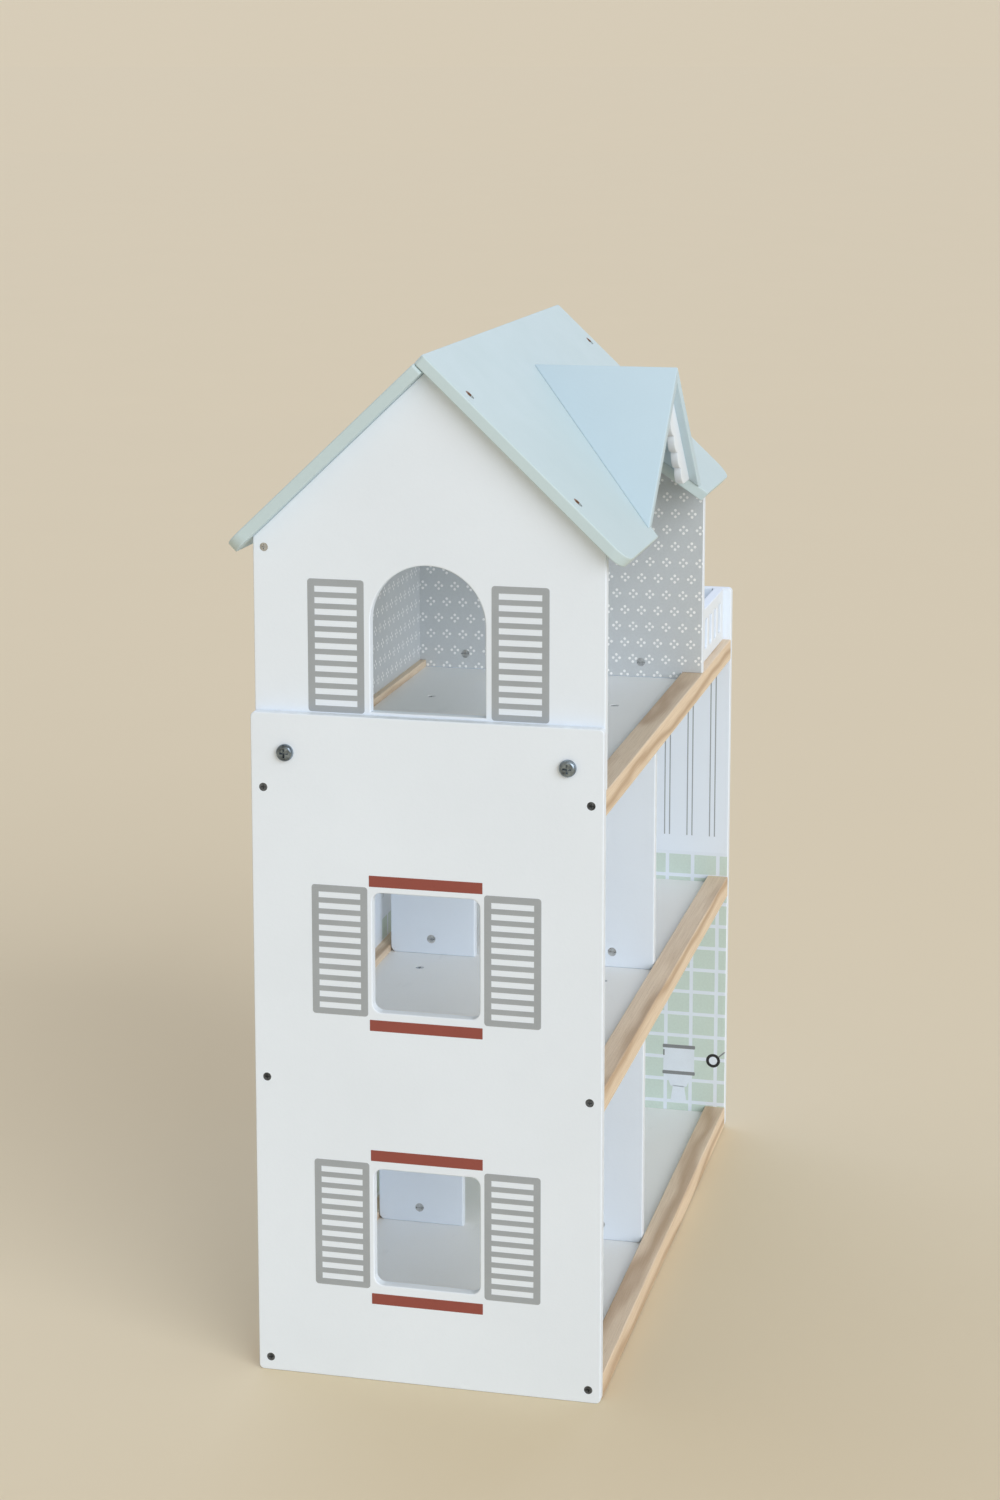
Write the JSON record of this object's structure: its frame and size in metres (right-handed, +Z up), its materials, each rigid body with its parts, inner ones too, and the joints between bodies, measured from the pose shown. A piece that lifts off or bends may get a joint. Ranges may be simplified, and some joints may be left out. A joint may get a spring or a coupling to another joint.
{
  "type": "wooden dollhouse",
  "caption": "Open-fronted wooden dollhouse: storeys on wooden rails, a gabled attic with a dormer roof, a fenced balcony, windows with printed shutters, screwed together.",
  "frame": {"origin": "centre of the house's footprint on the ground it stands on", "axes": "+X along the house from the gabled end to the balcony end, -Y out of the open front, +Z up"},
  "size_m": [0.61, 0.3056, 0.7923],
  "materials": {
    "white_board": "white lacquered fibreboard, satin",
    "floor_board": "pale grey-white lacquered fibreboard, satin",
    "papered_board": "fibreboard with a printed paper-like face, matt",
    "thin_back_board": "thin lacquered hardboard, satin",
    "blue_board": "light blue lacquered fibreboard, satin",
    "plain_wood": "clear-finished beech, matt",
    "dowel_wood": "bare turned wood",
    "zinc_steel": "bright zinc-plated steel",
    "bronzed_steel": "dark brown plated steel"
  },
  "bodies": {
    "root": {"attic_back_rail": "plain_wood", "attic_back_wall": "papered_board", "attic_back_wall_screws": "zinc_steel", "attic_end_wall": "papered_board", "attic_floor": "floor_board", "attic_front_rail": "plain_wood", "balcony_back_fence": "white_board", "balcony_front_fence": "white_board", "dormer_bargeboard": "white_board", "dormer_left_board": "blue_board", "dormer_right_board": "blue_board", "fence_dowels": "dowel_wood", "gable_bolt_inserts": "zinc_steel", "gable_bolts": "zinc_steel", "ground_back_rail": "plain_wood", "ground_back_wall": "thin_back_board", "ground_floor": "floor_board", "ground_front_rail": "plain_wood", "ground_partition": "white_board", "left_gable_panel": "white_board", "left_side_panel": "white_board", "left_side_screws": "zinc_steel", "middle_back_rail": "plain_wood", "middle_back_wall": "thin_back_board", "middle_floor": "floor_board", "middle_front_rail": "plain_wood", "middle_partition": "white_board", "right_side_panel": "white_board", "right_side_screws": "zinc_steel", "roof_back_board": "blue_board", "roof_front_board": "blue_board", "roof_screws": "bronzed_steel", "wall_barrel_nuts": "zinc_steel", "wall_bolts": "zinc_steel"}
  },
  "joints": []
}
